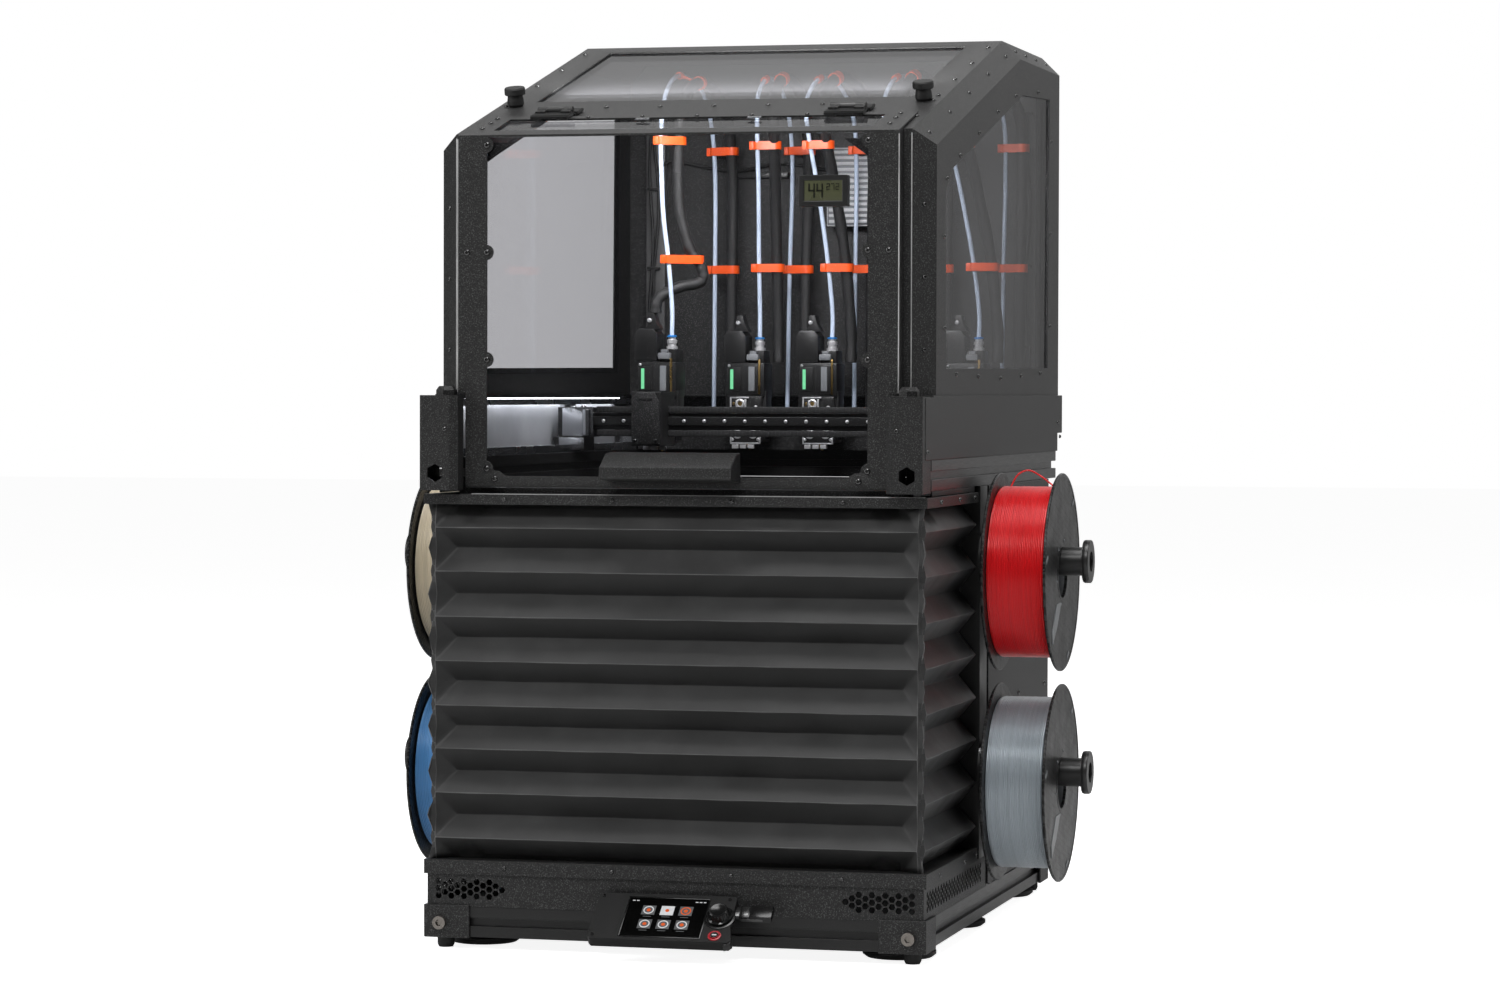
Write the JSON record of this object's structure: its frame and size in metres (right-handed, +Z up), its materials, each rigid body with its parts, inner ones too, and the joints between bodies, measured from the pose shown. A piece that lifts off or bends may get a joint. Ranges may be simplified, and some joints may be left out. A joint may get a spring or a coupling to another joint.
{
  "type": "enclosed 3d printer",
  "caption": "Enclosed multi-tool 3D printer: aluminium base, pleated bellows skirt, sheet-metal hood with lift-up windowed door, side filament spools and tilted control panel.",
  "frame": {"origin": "on the floor under the middle of the whole object", "axes": "+X to the right seen from the front, +Y to the back, +Z up"},
  "size_m": [0.726, 0.788, 0.923],
  "materials": {
    "powder_coat": "fine-textured matt black powder coat",
    "anodised_profile": "satin black anodised extrusion",
    "rubber": "matt moulded rubber",
    "black_plastic": "fine-grained moulded plastic",
    "smoked_acrylic": "clear, slightly smoky acrylic sheet",
    "steel_parts": "ground and plated steel",
    "dark_screws": "black oxide screws",
    "bellows_fabric": "coated woven fabric, semi-matt",
    "filter_media": "white pleated filter in a ribbed case",
    "spool_plastic": "black moulded spool with a twill-textured flange",
    "filament_red": "silky wound filament, red",
    "filament_silver": "silky wound filament, silver grey",
    "filament_cream": "wound filament, cream",
    "filament_blue": "wound filament, blue",
    "tube_blue": "translucent pale blue guide tube",
    "cable_sleeve": "black braided sleeve",
    "build_plate": "textured sheet on an aluminium bed",
    "screen_glass": "black display glass",
    "red_plastic": "red push button"
  },
  "bodies": {
    "root": {"base_frame": "anodised_profile", "base_brackets": "powder_coat", "base_screws": "dark_screws", "feet": "rubber", "base_tray": "powder_coat", "vent_cover": "powder_coat", "vertical_posts": "anodised_profile", "side_panels": "powder_coat", "rear_panel": "powder_coat", "electronics_cover": "powder_coat", "power_inlet": "black_plastic", "upper_frame": "anodised_profile", "corexy_covers": "powder_coat", "front_brackets": "powder_coat", "front_cross_bar": "powder_coat", "hood_side_left": "powder_coat", "hood_side_right": "powder_coat", "side_windows": "smoked_acrylic", "hood_front_frame": "powder_coat", "roof": "powder_coat", "roof_window": "smoked_acrylic", "rear_wall": "powder_coat", "air_filter": "filter_media", "roof_bumpers": "rubber", "hinge_base": "black_plastic", "bellows_bottom_bar": "powder_coat", "bellows": "bellows_fabric", "spool_holders": "black_plastic", "y_rails": "steel_parts", "parked_tools": "black_plastic", "tool_dock": "powder_coat", "belt_drive": "steel_parts", "guide_tubes": "tube_blue", "cable_sleeves": "cable_sleeve", "z_guides": "steel_parts", "control_panel": "black_plastic", "panel_screen": "screen_glass"},
    "door": {"door_frame": "powder_coat", "door_window": "smoked_acrylic", "door_top_window": "smoked_acrylic", "door_handle": "powder_coat", "hygrometer": "black_plastic"},
    "bellows_bar": {"bellows_bar": "powder_coat"},
    "spool_upper_right": {"spool_upper_right": "filament_red"},
    "spool_lower_right": {"spool_lower_right": "filament_silver"},
    "spool_upper_left": {"spool_upper_left": "filament_cream"},
    "spool_lower_left": {"spool_lower_left": "filament_blue"},
    "gantry": {"x_beam": "anodised_profile"},
    "tool": {"tool_carriage": "black_plastic", "active_tool": "black_plastic", "active_lead": "tube_blue"},
    "fan": {"exhaust_fan_rotor": "black_plastic"},
    "bed": {"heated_bed": "build_plate"},
    "lead_screw_left": {"lead_screw_left": "steel_parts"},
    "lead_screw_right": {"lead_screw_right": "steel_parts"},
    "knob_shaft": {"knob_shaft": "steel_parts"},
    "control_knob": {"control_knob": "black_plastic"},
    "reset_button": {"reset_button": "red_plastic"},
    "usb_stick": {"usb_stick": "steel_parts"},
    "power_switch": {"power_switch": "black_plastic"}
  },
  "joints": [
    {"name": "door_hinge", "type": "hinge", "parent": "root", "child": "door", "pos_m": [0, -0.23281, 0.82901], "axis": [-1, 0, 0], "range_deg": [0, 168]},
    {"name": "bellows_slide", "type": "slide", "parent": "root", "child": "bellows_bar", "axis": [0, 0, -1], "range_m": [0, 0.29], "deforming": ["bellows"]},
    {"name": "spool_upper_right_spin", "type": "hinge", "parent": "root", "child": "spool_upper_right", "pos_m": [0.301, -0.0565, 0.367], "axis": [1, 0, 0], "continuous": true},
    {"name": "spool_lower_right_spin", "type": "hinge", "parent": "root", "child": "spool_lower_right", "pos_m": [0.301, -0.0565, 0.153], "axis": [1, 0, 0], "continuous": true},
    {"name": "spool_upper_left_spin", "type": "hinge", "parent": "root", "child": "spool_upper_left", "pos_m": [-0.301, -0.0565, 0.367], "axis": [1, 0, 0], "continuous": true},
    {"name": "spool_lower_left_spin", "type": "hinge", "parent": "root", "child": "spool_lower_left", "pos_m": [-0.301, -0.0565, 0.153], "axis": [1, 0, 0], "continuous": true},
    {"name": "gantry_slide", "type": "slide", "parent": "root", "child": "gantry", "axis": [0, 1, 0], "range_m": [-0.33, 0.09]},
    {"name": "carriage_slide", "type": "slide", "parent": "gantry", "child": "tool", "axis": [1, 0, 0], "range_m": [-0.035, 0.31]},
    {"name": "fan_spin", "type": "hinge", "parent": "root", "child": "fan", "pos_m": [0.034, 0.37, 0.78], "axis": [0, 1, 0], "continuous": true},
    {"name": "bed_lift", "type": "slide", "parent": "root", "child": "bed", "axis": [0, 0, 1], "range_m": [-0.19, 0.15]},
    {"name": "screw_left_spin", "type": "hinge", "parent": "root", "child": "lead_screw_left", "pos_m": [-0.205, 0.032, 0.26], "axis": [0, 0, 1], "continuous": true},
    {"name": "screw_right_spin", "type": "hinge", "parent": "root", "child": "lead_screw_right", "pos_m": [0.205, 0.032, 0.26], "axis": [0, 0, 1], "continuous": true},
    {"name": "knob_press", "type": "slide", "parent": "root", "child": "knob_shaft", "axis": [0, 0.6018, -0.7986], "range_m": [0, 0.0008], "stiffness_N_per_m": 800},
    {"name": "knob_turn", "type": "hinge", "parent": "knob_shaft", "child": "control_knob", "pos_m": [0.057, -0.36764, 0.04386], "axis": [0, -0.6018, 0.7986], "continuous": true},
    {"name": "reset_press", "type": "slide", "parent": "root", "child": "reset_button", "axis": [0, 0.6018, -0.7986], "range_m": [0, 0.0012], "stiffness_N_per_m": 600},
    {"name": "usb_pull", "type": "slide", "parent": "root", "child": "usb_stick", "axis": [1, 0, 0], "range_m": [0, 0.012]},
    {"name": "power_switch_rock", "type": "hinge", "parent": "root", "child": "power_switch", "pos_m": [-0.087, 0.365, 0.098], "axis": [1, 0, 0], "range_deg": [0, 14]}
  ],
  "couplings": [
    {"joint": "screw_left_spin", "follows": "bed_lift", "rad_per_m": 785.4},
    {"joint": "screw_right_spin", "follows": "bed_lift", "rad_per_m": 785.4}
  ]
}
